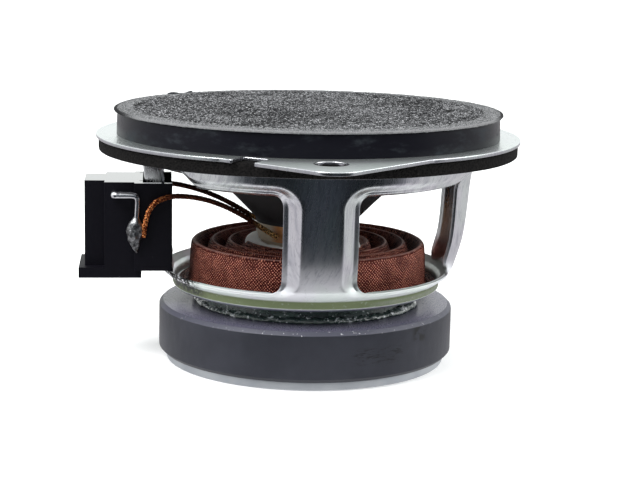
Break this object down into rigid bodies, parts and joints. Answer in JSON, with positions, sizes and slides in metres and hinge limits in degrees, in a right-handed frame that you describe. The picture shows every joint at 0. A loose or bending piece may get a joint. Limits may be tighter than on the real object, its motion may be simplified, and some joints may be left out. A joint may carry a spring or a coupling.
{
  "type": "small cone loudspeaker",
  "caption": "Small cone loudspeaker for a car dashboard: stamped steel basket with screw ears, ring magnet, cloth spider, felt front screen and clipped-on connector.",
  "frame": {"origin": "centre of the back plate's flat rear face", "axes": "+Z out of the front screen, the two screw ears on -Y and +Y, the connector on -X"},
  "size_m": [0.0888, 0.11, 0.0514],
  "materials": {
    "zinc_steel": "bright zinc plate",
    "dark_steel": "black oxide",
    "ferrite": "matt ferrite",
    "clear_glue": "dried glue",
    "white_glue": "dried glue",
    "red_cloth": "resin-dipped woven cloth",
    "former_paper": "kraft paper",
    "collar_paper": "varnished paper",
    "copper": "braided copper",
    "cone_paper": "black pressed paper",
    "black_rubber": "matt",
    "gasket_foam": "closed-cell foam",
    "ring_plastic": "satin black",
    "grey_felt": "speckled felt",
    "housing_plastic": "moulded black",
    "tinned_metal": "tinned"
  },
  "bodies": {
    "basket_assembly": {"back_plate": "zinc_steel", "pole_piece": "zinc_steel", "magnet": "ferrite", "top_plate": "dark_steel", "plate_glue": "clear_glue", "basket": "zinc_steel", "basket_rivets": "zinc_steel", "spider": "red_cloth", "surround": "black_rubber", "rear_gasket": "gasket_foam", "front_ring": "ring_plastic", "felt_screen": "grey_felt", "connector_housing": "housing_plastic", "terminal_front": "tinned_metal", "terminal_rear": "tinned_metal", "solder_front": "tinned_metal", "solder_rear": "tinned_metal", "lead_front": "copper", "lead_rear": "copper"},
    "moving_cone": {"coil_former": "former_paper", "voice_coil": "copper", "coil_tails": "copper", "former_collar": "collar_paper", "neck_glue": "white_glue", "cone": "cone_paper", "dust_cap": "cone_paper"}
  },
  "joints": [
    {"name": "cone_travel", "type": "slide", "parent": "basket_assembly", "child": "moving_cone", "axis": [0, 0, 1], "range_m": [-0.0015, 0.0015], "stiffness_N_per_m": 800, "deforming": ["spider", "surround", "lead_front", "lead_rear"]}
  ]
}
